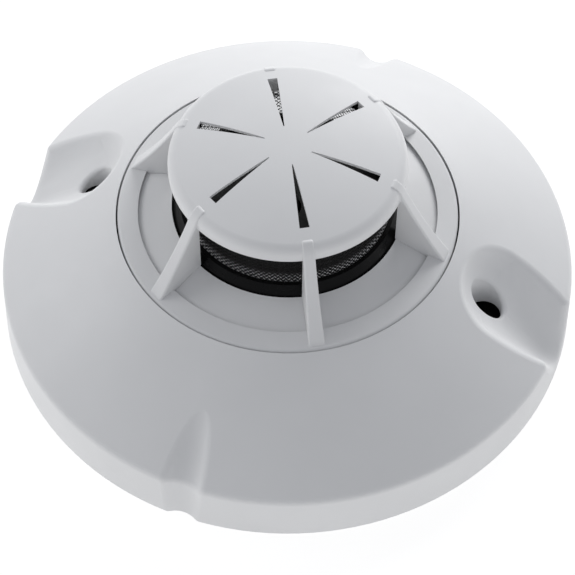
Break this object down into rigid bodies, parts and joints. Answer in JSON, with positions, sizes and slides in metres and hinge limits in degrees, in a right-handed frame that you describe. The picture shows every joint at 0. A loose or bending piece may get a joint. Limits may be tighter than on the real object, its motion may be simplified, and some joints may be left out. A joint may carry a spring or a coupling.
{
  "type": "heat detector",
  "caption": "Ceiling heat detector: wide skirted base with screw wells, and a twist-off head whose slotted domed cap stands on fins over a black insect screen.",
  "frame": {"origin": "centre of the mounting face that lies on the ceiling", "axes": "+Z from the mounting face out into the room, +X through one of the two ceiling screws"},
  "size_m": [0.156, 0.1558, 0.0614],
  "materials": {
    "white_housing": "fine satin moulding",
    "white_head": "fine satin moulding",
    "white_inner": "satin",
    "black_plastic": "satin",
    "black_gloss": "gloss",
    "black_mesh": "black lacquered woven wire",
    "circuit_board": "green solder mask",
    "plated_steel": "nickel plated",
    "tinned_wire": "tinned",
    "spring_bronze": "plated bronze",
    "spring_steel": "drawn wire",
    "screw_steel": "zinc plated",
    "cell_wrap": "shrink sleeve",
    "red_button": "satin",
    "sensor_glass": "amber bead",
    "chip_plastic": "matt",
    "capacitor_can": "bright can"
  },
  "bodies": {
    "base": {"skirt_shell": "white_housing", "back_plate": "black_plastic", "bayonet_socket": "white_inner", "battery_holder": "black_plastic", "contact_block": "black_plastic", "tamper_body": "black_plastic", "enrol_switch": "black_plastic", "radio_board": "circuit_board", "radio_module": "plated_steel", "antenna": "tinned_wire", "cell_1": "cell_wrap", "cell_2": "cell_wrap", "cell_contacts": "plated_steel", "cell_springs": "plated_steel", "base_contacts": "spring_bronze", "tamper_spring": "spring_steel", "skirt_screws": "screw_steel", "socket_screws": "screw_steel", "radio_board_screws": "screw_steel"},
    "head": {"vaned_cover": "white_head", "head_housing": "white_head", "head_rear_cover": "white_head", "head_contacts": "spring_bronze", "chamber_floor": "black_plastic", "lower_screen_ring": "black_gloss", "upper_screen_ring": "black_gloss", "insect_screen": "black_mesh", "head_board": "circuit_board", "sensor_column": "black_plastic", "thermistor": "sensor_glass", "thermistor_leads": "tinned_wire", "controller_chip": "chip_plastic", "buffer_capacitor": "capacitor_can", "head_screws": "screw_steel", "head_board_screws": "screw_steel"},
    "tamper": {"tamper_plunger": "white_inner"},
    "enrol": {"enrol_button": "red_button"}
  },
  "joints": [
    {"name": "head_twist", "type": "hinge", "parent": "base", "child": "head", "pos_m": [0, 0, 0], "axis": [0, 0, 1], "range_deg": [0, 25]},
    {"name": "tamper_plunge", "type": "slide", "parent": "base", "child": "tamper", "axis": [0, 0, 1], "range_m": [0, 0.002], "deforming": ["tamper_spring"]},
    {"name": "enrol_press", "type": "slide", "parent": "base", "child": "enrol", "axis": [0, 0, -1], "range_m": [0, 0.0004], "stiffness_N_per_m": 400, "springref_m": -0.0005}
  ],
  "couplings": [
    {"joint": "tamper_plunge", "follows": "head_twist", "m_per_rad": 0.0045837}
  ]
}
